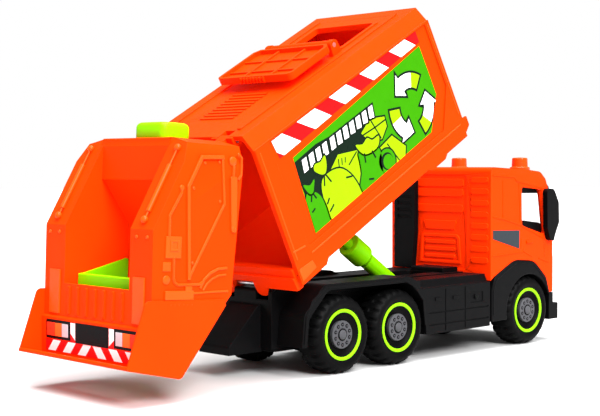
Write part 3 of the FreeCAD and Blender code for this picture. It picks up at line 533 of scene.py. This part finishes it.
class Sticker(Piece):
    """Flat prints in thin layers on one side of the container."""

    def __init__(self, name, side, border):
        super().__init__(name)
        self.side = side
        self.border = border

    def print_shape(self, outline, color, layer):
        """One flat shape, cut off at the sticker's edge, in a layer above the ones before."""
        shape = clipped(outline, self.border)
        if len(shape) > 2:
            self.ink = FILM_INKS[color]
            top = PANEL_FACE + FILM_THICKNESS + INK_LAYER * layer
            self.prism(shape, self.side * (PANEL_FACE + 0.02), self.side * top)

    def outlined(self, outline, color, layer, line=0.9):
        """A filled shape with a dark line round it."""
        self.print_shape(offset(outline, line), "dark", layer)
        self.print_shape(outline, color, layer + 1)

    def stroke(self, start, end, width, color, layer):
        """A straight line of some width."""
        along = (Vector(end) - Vector(start)).normalized()
        across = Vector((-along.y, along.x)) * width / 2
        self.print_shape([Vector(start) - across, Vector(end) - across, Vector(end) + across,
                          Vector(start) + across], color, layer)


def blob(points, steps=3):
    """A closed smooth curve through points."""
    corners = [Vector(point) for point in points]
    count = len(corners)
    curve = []
    for index in range(count):
        before, here = corners[index - 1], corners[index]
        after, later = corners[(index + 1) % count], corners[(index + 2) % count]
        for step in range(steps):
            share = step / steps
            curve.append(0.5 * (2 * here + (after - before) * share
                                + (2 * before - 5 * here + 4 * after - later) * share ** 2
                                + (3 * here - before - 3 * after + later) * share ** 3))
    return curve


LOOP_CENTRE = Vector((82.0, 87.2))
BAND_INNER, BAND_OUTER = 10.0, 17.6
BARB_INNER, BARB_OUTER = 7.0, 20.4
ARROW_POINT = 13.6
ARROW_TURNS = (40, 160, 280)


def loop_arrow(sticker, turn):
    """One of the three chasing arrows: a bent band with a lime tail and a white head."""
    def at(radius, degrees):
        angle = radians(turn + degrees)
        return LOOP_CENTRE + Vector((radius * cos(angle), radius * sin(angle)))

    tip = [at(BARB_INNER, 60), at(ARROW_POINT, 88), at(BARB_OUTER, 60), at(BAND_OUTER, 59)]
    tail = [at(BAND_INNER, 4 * step) for step in range(7)]
    tail += [at(BAND_OUTER, 24 - 4 * step) for step in range(7)]
    head = [at(BAND_INNER, 24 + 5 * step) for step in range(8)] + tip
    head += [at(BAND_OUTER, 54 - 5 * step) for step in range(7)]
    whole = [at(BAND_INNER, 4 * step) for step in range(15)] + tip
    whole += [at(BAND_OUTER, 56 - 4 * step) for step in range(15)]
    sticker.print_shape(offset(whole, 1.2), "dark", 2)
    sticker.print_shape(head, "white", 3)
    sticker.print_shape(tail, "lime", 4)


def draw_boxes(sticker):
    """An open box, a carton with flaps and a drum."""
    sticker.outlined([(41.1, 93.4), (50.2, 96.9), (60.5, 92.7), (59.7, 87.5), (53.3, 83.5), (44.6, 86.8)],
                     "lime", 2)
    sticker.stroke((50.2, 96.9), (53.0, 84.0), 0.8, "dark", 4)
    sticker.stroke((41.8, 92.0), (51.6, 91.2), 0.8, "dark", 4)
    sticker.stroke((51.6, 91.2), (60.2, 91.0), 0.8, "dark", 4)
    sticker.outlined([(13.2, 88.4), (21.0, 92.4), (34.2, 87.6), (33.2, 79.0), (26.5, 71.0), (20.0, 80)],
                     "lime", 3)
    for shift in (0, 2.4, 4.8):
        sticker.stroke((20.2 + shift, 90.4 - shift / 3), (18.8 + shift, 86.4), 0.7, "dark", 5)
    sticker.stroke((33.6, 87.2), (25.4, 84.0), 0.8, "dark", 5)
    sticker.outlined([(49.6, 80.2), (60.8, 81.4), (67.6, 71.4), (63.0, 64), (50.0, 64)], "lime", 2)
    sticker.outlined(circle(51.2, 71.6, 6.4), "green", 4)
    sticker.print_shape(circle(51.2, 71.6, 4.6), "dark", 6)
    sticker.print_shape(circle(51.8, 71.0, 3.9), "green", 7)
    sticker.stroke((55.5, 79.5), (60.0, 66.5), 0.7, "dark", 5)


TIED_BAGS = [
    ("green", 4, [(34.7, 86.0), (41.7, 85.4), (48.7, 81.4), (48.4, 74.2), (45.8, 68.0), (46.3, 60.0),
                  (34.9, 59.5), (24.4, 60.8), (27.0, 70.0), (31.4, 75.7), (33.2, 81.7)]),
    ("lime", 5, [(34.4, 90.2), (39.1, 88.2), (43.6, 89.4), (46.6, 86.6), (52.0, 86.2), (48.8, 81.8),
                 (42.4, 81.6), (37.0, 83.8)]),
    ("lime", 5, [(6.6, 87.6), (14.7, 87.4), (20.7, 84.4), (25.1, 77.1), (26.6, 68.1), (25.0, 60.0),
                 (11.2, 60.5), (-0.5, 61.4), (-0.2, 69.8), (1.4, 77.0), (3.0, 83.7)]),
    ("lime", 6, [(12.6, 96.8), (12.0, 93.2), (10.4, 90.2), (8.4, 88.8), (5.6, 90.0), (2.7, 93.8),
                 (4.6, 96.2), (8.6, 95.4)]),
    ("green", 6, [(-9.8, 83.9), (-3.6, 85.4), (0.2, 81.3), (1.0, 75.1), (0.4, 68.0), (0.0, 60.1),
                  (-16.3, 60.3)]),
    ("green", 7, [(-7.4, 91.3), (-3.4, 89.0), (0.6, 90.2), (-1.8, 86.4), (-3.4, 84.8), (-5.8, 85.6)]),
]
CREASES = [
    ((8.6, 88.2), (10.4, 83.0)), ((7.4, 88.0), (5.2, 83.6)), ((20.4, 79.6), (24.6, 78.0)),
    ((5.2, 76.8), (2.4, 74.8)), ((2.2, 70.6), (6.4, 72.4)), ((38.0, 83.6), (36.6, 79.0)),
    ((43.6, 82.0), (44.4, 77.6)), ((-3.6, 84.6), (-2.6, 81.2)), ((-4.6, 84.4), (-6.6, 81.4)),
    ((-8.6, 76.6), (-5.8, 77.4)), ((34.6, 70.4), (38.0, 68.8)),
]


def draw_bags(sticker):
    """The tied bags with their creases."""
    for color, layer, points in TIED_BAGS:
        sticker.outlined(blob(points), color, layer)
    for start, end in CREASES:
        sticker.stroke(start, end, 0.9, "dark", 9)


DASH_PITCH = 5.3
DASH_GROUPS = [(-3.6, 4), (18.4, 7)]


def draw_dashes(sticker):
    """Slanted dashes in place of lettering, in two groups with a first place and a count."""
    for start, count in DASH_GROUPS:
        for dash in range(count):
            low = start + DASH_PITCH * dash
            bar = [(low, 96.0 + 0.016 * low), (low + 3.4, 96.1), (low + 4.9, 102.3), (low + 1.5, 102.2)]
            sticker.print_shape(offset(bar, 1.0), "dark", 3)
            sticker.print_shape(bar, "white", 4)


def panel_art(sticker):
    """Tied bags, boxes and a drum in front of a dark patch, dashes above and arrows ahead."""
    sticker.print_shape(PANEL_STICKER, "green", 0)
    sticker.print_shape([(-8.3, 103.6), (10, 104.5), (49.9, 99.5), (48.7, 89.7), (31.0, 77.4), (7.7, 72),
                         (-8.4, 72)], "dark", 1)
    draw_boxes(sticker)
    draw_bags(sticker)
    draw_dashes(sticker)
    for turn in ARROW_TURNS:
        loop_arrow(sticker, turn)


FIRST_WHITE_X = -21.8
WHITE_PITCH = 25.4


def side_stickers(side_name, side):
    """The drawn panel and the red and white stripe of one side."""
    art = Sticker("panel_print_" + side_name, side, PANEL_STICKER)
    panel_art(art)
    art.done("container", FILMS, "side_sticker", replaces=["side_stickers_" + side_name])
    stripe = Sticker("stripe_print_" + side_name, side, STRIPE_STICKER)
    stripe.print_shape(STRIPE_STICKER, "red", 0)
    for block in range(5):
        low = FIRST_WHITE_X + WHITE_PITCH * block
        stripe.print_shape([(low, 120.5), (low + 14.0, 120.5), (low + 25.0, 109.5), (low + 11.6, 109.5)],
                           "white", 1)
    stripe.done("container", FILMS, "side_sticker")


LAMP_PANEL_TOP_X = -81.63
LAMP_PANEL_TOP_Z = 37.4
LAMP_PANEL_LEAN = 0.0556
LAMP_INKS = [BLACK_FILM, LAMP_RED_FILM, AMBER_FILM, LAMP_WHITE_FILM]
# ink, inner y, outer y, lowest z, highest z, and how proud its back and front are
LAMP_SPANS = [
    (0, 17.5, 37.5, 28.4, 37.4, 0.02, 0.45),
    (1, 30.0, 36.3, 29.8, 36.0, 0.3, 0.72),
    (2, 24.2, 29.6, 29.8, 36.0, 0.3, 0.72),
    (3, 19.0, 23.8, 29.8, 36.0, 0.3, 0.72),
]
CHEVRON_PITCH = 12.4
CHEVRON_PROUD = (0.1, 0.26)


def on_lamp_panel(z, proud):
    """A point proud of the lamp panel, in x and z."""
    return (LAMP_PANEL_TOP_X + (LAMP_PANEL_TOP_Z - z) * LAMP_PANEL_LEAN - proud, z)


def lamp_panel_slab(piece, y_low, y_high, z_low, z_high, low, high):
    """A plate along the lamp panel, its back and front proud of it by low and high."""
    piece.prism([on_lamp_panel(z_high, low), on_lamp_panel(z_high, high),
                 on_lamp_panel(z_low, high), on_lamp_panel(z_low, low)], y_low, y_high)


def lamp_panel_print(piece, side, outline):
    """A thin shape on the lamp panel, from an outline in y and z."""
    loops = []
    for proud in CHEVRON_PROUD:
        loops.append(piece.loop([(on_lamp_panel(z, proud)[0], side * y, z) for y, z in outline]))
    piece.skin(loops)


def lamp_clusters():
    """A black cluster with three lenses on each side."""
    lamps = Piece("lamp_clusters")
    for side in (-1, 1):
        for ink, inner, outer, z_low, z_high, low, high in LAMP_SPANS:
            lamps.ink = ink
            y_low, y_high = sorted((side * inner, side * outer))
            lamp_panel_slab(lamps, y_low, y_high, z_low, z_high, low, high)
    lamps.done("tailgate", LAMP_INKS, "lamp_sticker", replaces=["tail_lights"], bevel=0.12)


def blank_plate():
    """A number plate without a number, with a raised middle."""
    plate = Piece("blank_plate")
    lamp_panel_slab(plate, -13, 13, 28.0, 37.4, 0.2, 0.5)
    lamp_panel_slab(plate, -12, 12, 29.0, 36.4, 0.4, 0.56)
    plate.done("tailgate", [BLACK_FILM], "plate_sticker", replaces=["number_plate"], bevel=0.1)


def rear_chevrons():
    """The red sticker below the lamps, with white bars that lean toward the middle."""
    stripes = Piece("rear_chevrons")
    lamp_panel_slab(stripes, -38, 38, 22.6, 27.9, 0.02, 0.2)
    for side in (-1, 1):
        y_low, y_high = sorted((side * 13.2, side * 17.3))
        lamp_panel_slab(stripes, y_low, y_high, 27.9, 37.2, 0.02, 0.2)
    stripes.ink = 1
    for side in (-1, 1):
        for block in range(3):
            inner = 0.6 + CHEVRON_PITCH * block
            lamp_panel_print(stripes, side, [(inner + 4.4, 22.7), (inner + 10.6, 22.7),
                                             (inner + 6.2, 27.8), (inner, 27.8)])
        lamp_panel_print(stripes, side, [(13.4, 29.0), (17.2, 32.0), (17.2, 37.0), (13.4, 37.0)])
    stripes.done("tailgate", [RED_FILM, WHITE_FILM], "stripe_sticker", replaces=["warning_stripes"])


CAB_FACE = 37.8


def cab_badges():
    """The plain slate sticker on each side of the cab."""
    badge = Piece("cab_slates")
    outline = [(122.4, 68.2), (147.5, 67.4), (147.3, 56.6), (122.4, 63.2)]
    for side in (-1, 1):
        badge.prism(outline, side * (CAB_FACE + 0.02), side * (CAB_FACE + 0.25))
    badge.done("chassis", [SLATE_FILM], "cab_sticker", replaces=["cab_decals"])


# ---------------------------------------------------------------- moulded relief
# how far out the side faces are, from the truck's middle
CHEEK = 42.2
CONTAINER_SIDE = 42.8
SKIRT_FACE = 38.2
ARCH_FACE = 38.3
# how deep a raised shape is rooted in its face, and how much lower every second stretch is
ROOT = 0.3
STEP_DOWN = 0.05


def ridge(piece, side, face, points, width, height):
    """A raised line of some width along points on a side face, as tall as height.

    Every second stretch is a hair lower, so that no two tops lie in one plane where they overlap.
    """
    for index, (one, two) in enumerate(zip(points, points[1:])):
        top = face + height - STEP_DOWN * (index % 2)
        start, end = Vector(one), Vector(two)
        along = (end - start).normalized() * width * 0.4
        across = Vector((-along.y, along.x)).normalized() * width / 2
        piece.prism([start - along - across, end + along - across, end + along + across,
                     start - along + across], side * (face - ROOT), side * top)


def raised_plate(piece, side, face, outline, height):
    """A flat raised shape on a side face."""
    piece.prism(outline, side * (face - ROOT), side * (face + height))


def boss(piece, side, face, x, z, radius, height):
    """A low round button on a side face."""
    piece.turn([(0.05, -ROOT), (radius, -ROOT), (radius, height * 0.6), (radius * 0.75, height),
                (0.05, height)], (x, side * face, z), (0, side, 0), sides=20)


def cheek_pipe(piece, side, points, radius):
    """A round pipe half sunk in the tailgate's cheek, through points in x and z."""
    piece.tube([(x, side * (CHEEK + 0.15), z) for x, z in points], radius, 10)


def cheek_panel(relief, side):
    """The five-cornered frame with its bolts."""
    panel = [(-55.6, 116.2), (-43.4, 116.9), (-41.2, 95.5), (-60.4, 61.5), (-62.8, 102.7)]
    ridge(relief, side, CHEEK, panel[3:] + panel[:2], 1.7, 1.0)
    ridge(relief, side, CHEEK, panel[1:4], 1.3, 0.7)
    for x, z in ((-53.4, 113.8), (-44.9, 114.6), (-59.4, 102.1), (-43.6, 96.6), (-58.4, 68.4)):
        boss(relief, side, CHEEK, x, z, 0.75, 0.4)


def control_box(relief, side):
    """The control box with its window, and two buttons below."""
    raised_plate(relief, side, CHEEK, box_outline(-74.2, -65.4, 70.4, 80.2), 0.65)
    relief.frame_prism(box_outline(-71.9, -66.9, 73.6, 78.6), box_outline(-70.9, -67.9, 74.6, 77.6),
                       side * (CHEEK + 0.4), side * (CHEEK + 1.0))
    raised_plate(relief, side, CHEEK, box_outline(-75.4, -70.9, 64.6, 68.8), 0.5)
    boss(relief, side, CHEEK, -73.0, 60.8, 2.1, 0.6)


def cheek_lines(relief, side):
    """The hand rail, the drain pipe, two arch lines and a seam."""
    cheek_pipe(relief, side, [(-66.4, 101.8), (-66.4, 99.6), (-72.6, 89.2), (-72.4, 80.0)], 0.75)
    boss(relief, side, CHEEK, -66.4, 102.0, 1.3, 0.8)
    cheek_pipe(relief, side, [(-69.4, 71.0), (-69.0, 61.6), (-68.2, 59.6), (-66.2, 58.6), (-54.0, 58.8),
                              (-51.6, 60.0)], 0.75)
    arch = [(-53.4, 57.4), (-51.6, 60.8), (-48.0, 63.8), (-43.4, 65.8), (-38.4, 66.3)]
    ridge(relief, side, CHEEK, arch, 1.2, 0.7)
    inner_arch = [(-51.6, 56.2), (-49.6, 59.0), (-46.6, 61.2), (-42.8, 62.8), (-38.6, 63.2)]
    ridge(relief, side, CHEEK, inner_arch, 0.9, 0.5)
    ridge(relief, side, CHEEK, [(-57.0, 54.8), (-45.0, 55.4), (-37.0, 55.6)], 1.0, 0.5)


def wing_blocks(relief, side):
    """The blocks over the wing and the row of dots on the lowest one."""
    raised_plate(relief, side, CHEEK, box_outline(-73.8, -57.6, 51.9, 56.0), 1.1)
    raised_plate(relief, side, CHEEK, box_outline(-62.4, -58.6, 55.0, 58.0), 1.0)
    dotted_face = CHEEK + 0.95
    relief.prism(box_outline(-72.4, -57.2, 46.8, 51.4), side * (CHEEK + 0.4), side * (CHEEK + 1.18))
    for dot in range(6):
        boss(relief, side, dotted_face, -70.6 + 2.4 * dot, 49.8, 0.5, 0.24)


def front_cylinder(relief, side):
    """The dummy cylinder near the cheek's front edge, with its hose."""
    raised_plate(relief, side, CHEEK, rounded([(-38.4, 108.4, 1), (-34.4, 108.4, 1), (-33.6, 82.6, 1.2),
                                               (-36.6, 82.6, 1.2)]), 1.0)
    boss(relief, side, CHEEK, -37.0, 115.4, 2.2, 0.7)
    boss(relief, side, CHEEK, -35.2, 84.4, 1.2, 1.15)
    cheek_pipe(relief, side, [(-36.4, 114.0), (-36.4, 107.8)], 0.8)
    cheek_pipe(relief, side, [(-34.2, 119.2), (-31.8, 117.4), (-31.6, 109.4), (-33.4, 107.0)], 0.65)


RIM_MIDDLE_Y = 33.9
RIM_OUTWARD = (-0.891, 0, 0.453)
RIM_KNOB = [(0.05, -1.4), (1.2, -1.2), (1.75, -0.3), (1.75, 0.5), (1.2, 1.3), (0.05, 1.5)]
POST_BOLT = [(0.05, -0.3), (0.9, -0.3), (0.9, 0.25), (0.6, 0.5), (0.05, 0.5)]


def rim_cylinder(relief, side):
    """The dummy cylinder on the slanted rim, between two knobs."""
    top = Vector((-62.9, side * RIM_MIDDLE_Y, 120.2))
    foot = Vector((-79.9, side * RIM_MIDDLE_Y, 87.2))
    along = (foot - top).normalized()
    relief.tube([top, foot], 0.55, 10)
    relief.tube([top + along * 9, foot - along * 4], 1.15, 14)
    for end in (top, foot):
        relief.turn(RIM_KNOB, end, RIM_OUTWARD, sides=20)


def rear_post(relief, side):
    """Two bolts and a long reflector plate on the upright rear post."""
    for y in (30.4, 38.2):
        relief.turn(POST_BOLT, (-81.25, side * y, 79.4), (-1, 0, 0), sides=18)
    y_low, y_high = sorted((side * 28.8, side * 37.2))
    relief.prism([(-80.3, 61.5), (-81.4, 61.5), (-80.95, 40.6), (-80.0, 40.6)], y_low, y_high)


def tailgate_relief():
    """What is moulded on the tailgate's sides, slanted rims and rear posts."""
    relief = Piece("tailgate_relief")
    for side in (-1, 1):
        for add_moulding in (cheek_panel, control_box, cheek_lines, wing_blocks, front_cylinder,
                             rim_cylinder, rear_post):
            add_moulding(relief, side)
    # the raised shapes are in the lighter orange, a painted highlight
    relief.done("tailgate", [PAINTED_HIGHLIGHT_ORANGE], "orange_plastic", bevel=0.26, sharp=40)


# width, height and points of each pressed line
CAB_LINES = [
    (0.7, 0.28, [(122.6, 99.6), (142.6, 98.4), (144.6, 96.2), (169.6, 91.8)]),
    (0.7, 0.25, [(131.8, 96.6), (131.9, 75.6)]),
    (0.7, 0.25, [(147.0, 94.6), (148.2, 72.6)]),
    (0.8, 0.3, [(122.8, 75.8), (133.0, 74.2), (149.0, 70.2), (172.6, 61.6)]),
    (0.7, 0.28, [(122.8, 53.4), (150.4, 54.6), (151.8, 56.2)]),
    (0.7, 0.28, [(151.8, 54.8), (159.8, 51.6)]),
    (0.7, 0.28, [(166.8, 50.0), (176.6, 47.2)]),
    (0.6, 0.22, [(149.4, 62.6), (149.2, 57.0)]),
]
CONTAINER_LINES = [
    (0.8, 0.3, [(-29.4, 66.8), (-21.4, 65.4)]),
    (0.7, 0.25, [(-18.6, 60.0), (112.0, 60.0)]),
    (0.7, 0.25, [(-29.0, 62.4), (-24.6, 118.6)]),
    (0.7, 0.25, [(113.6, 66.0), (113.6, 119.0)]),
]


def cab_relief():
    """Seams and pressed lines on the cab's sides, and the door handle."""
    relief = Piece("cab_relief")
    for side in (-1, 1):
        for width, height, points in CAB_LINES:
            ridge(relief, side, CAB_FACE, points, width, height)
        relief.prism(box_outline(154.2, 160.2, 59.4, 61.0), side * (CAB_FACE - 0.2), side * (CAB_FACE + 0.7))
    relief.done("chassis", [ORANGE], "orange_plastic", bevel=0.14, sharp=40)


def container_relief():
    """Rail blocks and rounded beads on the container's sides."""
    relief = Piece("container_relief")
    for side in (-1, 1):
        relief.prism([(-30.6, 57.4), (-20.6, 56.6), (-19.8, 52.2), (-30.9, 51.0)],
                     side * (CONTAINER_SIDE - 0.5), side * (CONTAINER_SIDE + 0.35))
        for width, height, points in CONTAINER_LINES:
            ridge(relief, side, CONTAINER_SIDE, points, width, height)
    # the raised shapes are in the lighter orange, a painted highlight
    relief.done("container", [PAINTED_HIGHLIGHT_ORANGE], "orange_plastic", bevel=0.14, sharp=40)


def chassis_relief():
    """The rolled lips of the arches and the latches of the locker boxes."""
    relief = Piece("chassis_relief")
    lip = [(-27.6, 18), (-26.2, 31.0), (-22.4, 38.4), (-13.0, 44.9), (46.0, 44.9), (54.4, 41.2),
           (61.4, 33.2), (63.0, 20)]
    arch = [(122.6, 20), (122.6, 33.8), (124.6, 38.8), (126.6, 40.6), (133.4, 44.0), (143.4, 48.3),
            (152.0, 48.0), (160.8, 46.8), (166.6, 42.3), (172.0, 37.4), (175.2, 30.0)]
    for side in (-1, 1):
        ridge(relief, side, SKIRT_FACE, lip, 1.3, 0.5)
        for x in (73.5, 88.5):
            relief.prism(box_outline(x - 2.2, x + 2.2, 31.6, 33.6), side * (SKIRT_FACE - 0.1),
                         side * (SKIRT_FACE + 0.6))
        boss(relief, side, SKIRT_FACE, 107.0, 31.5, 1.5, 0.6)
        ridge(relief, side, ARCH_FACE, arch, 0.8, 0.35)
    relief.done("chassis", [BLACK], "black_plastic", bevel=0.2, sharp=40)


# ---------------------------------------------------------------- the press's grip
GRIP_BACK_X, GRIP_FRONT_X = -54.3, -36.9
GRIP_HALF_WIDTH = 11.4
GRIP_CORNER = 3.2
# how far the grip's outline is drawn in at each height
GRIP_LEVELS = [(0.3, 123.55), (0.0, 123.9), (0.0, 131.0), (0.2, 131.9), (0.75, 132.8), (1.5, 133.3),
               (2.6, 133.45)]


def press_grip():
    """The square grip on top of the loader, with its top edge rounded over."""
    grip = Piece("press_grip")
    loops = []
    for inset, z in GRIP_LEVELS:
        plan = box_outline(GRIP_BACK_X + inset, GRIP_FRONT_X - inset, inset - GRIP_HALF_WIDTH,
                           GRIP_HALF_WIDTH - inset, GRIP_CORNER)
        loops.append(grip.loop([(x, y, z) for x, y in plan]))
    grip.skin(loops)
    grip.done("press", [LIME], "lime_plastic", replaces=["press_handle"], sharp=50)


# ---------------------------------------------------------------- plain mouldings
# material and radius of the rounded edges
ROUNDED_NODES = {
    "container_shell": (ORANGE, 0.15),
    "tailgate_shell": (ORANGE, 0.15),
    "tail_wings": (ORANGE, 0.12),
    "cab_shell": (ORANGE, 0.2),
    "hatch_lid": (ORANGE, 0.15),
    "beacon_left": (BEACON, 0.3),
    "beacon_right": (BEACON, 0.3),
    "scoop_tray": (LIME, 0.2),
    "ram_cylinder": (LIME, 0.3),
    "ram_rod": (LIME, 0.2),
    "chassis_frame": (BLACK, 0.2),
    "front_bumper": (BLACK, 0.2),
    "air_intake": (BLACK, 0.15),
    "cab_step": (BLACK, 0.2),
    "cab_interior": (BLACK, 0.4),
    "sun_visor": (BLACK, 0.15),
    "mirror_left": (BLACK, 0.2),
    "mirror_right": (BLACK, 0.2),
    "side_skirt_left": (BLACK, 0.2),
    "side_skirt_right": (BLACK, 0.2),
    "front_fender_left": (BLACK, 0.6),
    "front_fender_right": (BLACK, 0.6),
    "underbody_plate": (BLACK, 0.3),
    "press_link": (LIME, 0.3),
}


def plain_mouldings():
    """The CAD nodes that keep their shape: rounded plastic, and bare steel left as it is."""
    for node, (material, bevel) in ROUNDED_NODES.items():
        rounded_node(node, material, bevel)
    for node, thing in frame["nodes"].items():
        if SLOT_OF[node] == "steel":
            thing.data.materials.clear()
            thing.data.materials.append(STEEL)


plain_mouldings()
for side_name, side in SIDES:
    side_stickers(side_name, side)
    for axle, axle_x in AXLES.items():
        wheel(axle, axle_x, side_name, side)
lamp_clusters()
blank_plate()
rear_chevrons()
cab_badges()
press_grip()
tailgate_relief()
cab_relief()
container_relief()
chassis_relief()
floor()
studio()
camera()
